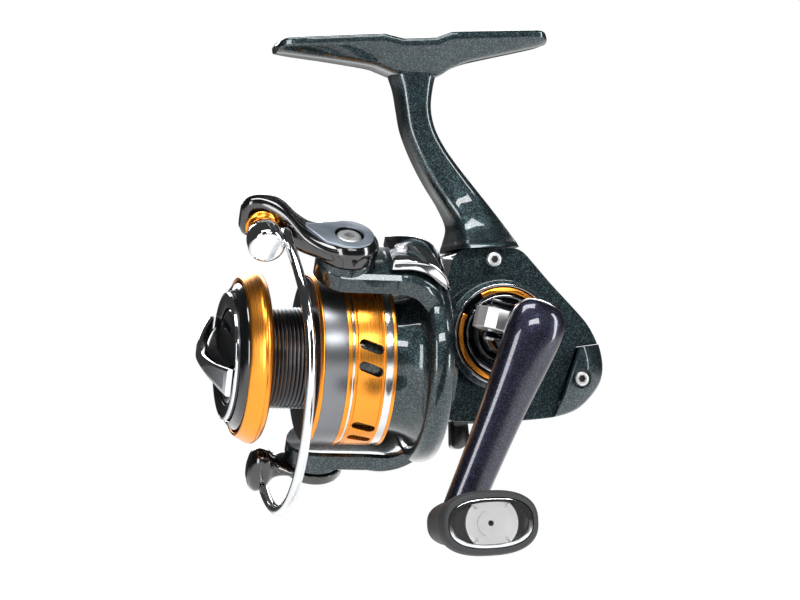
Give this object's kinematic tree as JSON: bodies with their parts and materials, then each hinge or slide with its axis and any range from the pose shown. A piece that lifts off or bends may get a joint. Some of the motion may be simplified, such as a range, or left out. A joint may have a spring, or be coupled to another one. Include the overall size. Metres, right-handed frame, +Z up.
{
  "type": "spinning reel",
  "caption": "Open-face spinning reel with a foot and stem, a geared crank, a two-arm rotor with a bail, and a slotted spool under a front drag knob.",
  "frame": {"origin": "centre of the shallow saddle in the top of the foot, where the foot meets the rod", "axes": "+Z up towards the rod, -X forward along the rod towards its tip, -Y out to the crank's side. The spool shaft is tilted 4.1 degrees nose up."},
  "size_m": [0.0822, 0.0834, 0.1046],
  "materials": {
    "green_black_pearl": "metal-flake pearl under gloss lacquer",
    "violet_black_pearl": "metal-flake pearl under gloss lacquer",
    "gold_anodised": "turned and anodised",
    "polished_chrome": "polished plating",
    "stainless_steel": "ground",
    "brass": "cut and greased",
    "gloss_black": "gloss black",
    "dark_rubber": "matte moulded",
    "felt": "oiled felt"
  },
  "bodies": {
    "body": {"housing": "green_black_pearl", "side_cover": "green_black_pearl", "rear_cover": "green_black_pearl", "cover_screw_upper": "stainless_steel", "cover_screw_lower": "stainless_steel", "cover_screw_rear": "stainless_steel", "trim_ring": "polished_chrome", "trim_inlay_upper": "gold_anodised", "trim_inlay_lower": "gold_anodised", "gear_bearing_near": "stainless_steel", "gear_bearing_far": "stainless_steel", "pinion_bearing": "stainless_steel", "clutch_housing": "stainless_steel", "clutch_retainer": "stainless_steel", "slider_guide": "stainless_steel", "oscillation_post": "stainless_steel"},
    "crank": {"drive_gear": "brass", "drive_shaft": "stainless_steel", "oscillation_pinion": "brass", "handle_shank": "polished_chrome", "fold_pin": "stainless_steel", "handle_arm": "violet_black_pearl", "knob_spindle": "stainless_steel", "far_cap": "gloss_black"},
    "lock_nut": {"fold_lock_nut": "polished_chrome"},
    "knob": {"handle_knob": "dark_rubber", "knob_plate": "polished_chrome"},
    "oscillation_wheel": {"oscillation_gear": "brass"},
    "spool_shaft": {"main_shaft": "stainless_steel", "slider": "brass", "spool_support": "gloss_black"},
    "spool": {"spool": "gold_anodised", "drag_washer_rear": "felt", "drag_plate": "stainless_steel", "drag_washer_front": "felt", "drag_pressure_plate": "stainless_steel", "drag_clip": "stainless_steel"},
    "drag": {"drag_knob": "gloss_black", "drag_dial_ring": "stainless_steel", "drag_fin": "polished_chrome", "drag_nut": "brass"},
    "rotor": {"rotor": "green_black_pearl", "rotor_nut": "stainless_steel", "pinion": "brass", "clutch_sleeve": "stainless_steel", "arm_cover": "polished_chrome", "arm_cover_screw": "stainless_steel", "bail_spring": "stainless_steel", "trip_lever": "stainless_steel"},
    "bail": {"bail_arm": "gloss_black", "bail_arm_screw": "stainless_steel", "bail_wire": "polished_chrome", "bail_holder": "gloss_black", "bail_holder_screw": "stainless_steel", "roller_screw": "stainless_steel"},
    "roller": {"line_roller": "gold_anodised"},
    "reverse_lever": {"reverse_lever": "gloss_black"}
  },
  "joints": [
    {"name": "crank_turn", "type": "hinge", "parent": "body", "child": "crank", "pos_m": [0.01304, 0, -0.06092], "axis": [0, -1, 0], "continuous": true},
    {"name": "rotor_turn", "type": "hinge", "parent": "body", "child": "rotor", "pos_m": [0, 0, -0.0652], "axis": [-0.9974, 0, 0.0715], "continuous": true},
    {"name": "oscillation_turn", "type": "hinge", "parent": "body", "child": "oscillation_wheel", "pos_m": [0.02053, 0, -0.06828], "axis": [0, -1, 0], "continuous": true},
    {"name": "spool_stroke", "type": "slide", "parent": "body", "child": "spool_shaft", "axis": [-0.9974, 0, 0.0715], "range_m": [-0.005, 0.003]},
    {"name": "spool_slip", "type": "hinge", "parent": "spool_shaft", "child": "spool", "pos_m": [0, 0, -0.0652], "axis": [-0.9974, 0, 0.0715], "continuous": true},
    {"name": "drag_turn", "type": "hinge", "parent": "spool_shaft", "child": "drag", "pos_m": [0, 0, -0.0652], "axis": [-0.9974, 0, 0.0715], "range_deg": [-360, 360]},
    {"name": "bail_swing", "type": "hinge", "parent": "rotor", "child": "bail", "pos_m": [-0.02025, 0, -0.06375], "axis": [-0.0578, 0.5878, -0.8069], "range_deg": [0, 102]},
    {"name": "roller_turn", "type": "hinge", "parent": "bail", "child": "roller", "pos_m": [-0.0358, -0.01728, -0.0388], "axis": [0.042, 0.809, 0.5863], "continuous": true},
    {"name": "knob_turn", "type": "hinge", "parent": "crank", "child": "knob", "pos_m": [-0.00435, -0.05, -0.09739], "axis": [0, -1, 0], "continuous": true},
    {"name": "lock_nut_turn", "type": "hinge", "parent": "crank", "child": "lock_nut", "pos_m": [0.00724, -0.0272, -0.05822], "axis": [0.2756, 0, 0.9613], "continuous": true},
    {"name": "reverse_lever_swing", "type": "hinge", "parent": "body", "child": "reverse_lever", "pos_m": [0.0056, 0, -0.0768], "axis": [0, -1, 0], "range_deg": [0, 20]}
  ],
  "couplings": [
    {"joint": "rotor_turn", "follows": "crank_turn", "ratio": -5},
    {"joint": "oscillation_turn", "follows": "crank_turn", "ratio": -0.5}
  ]
}
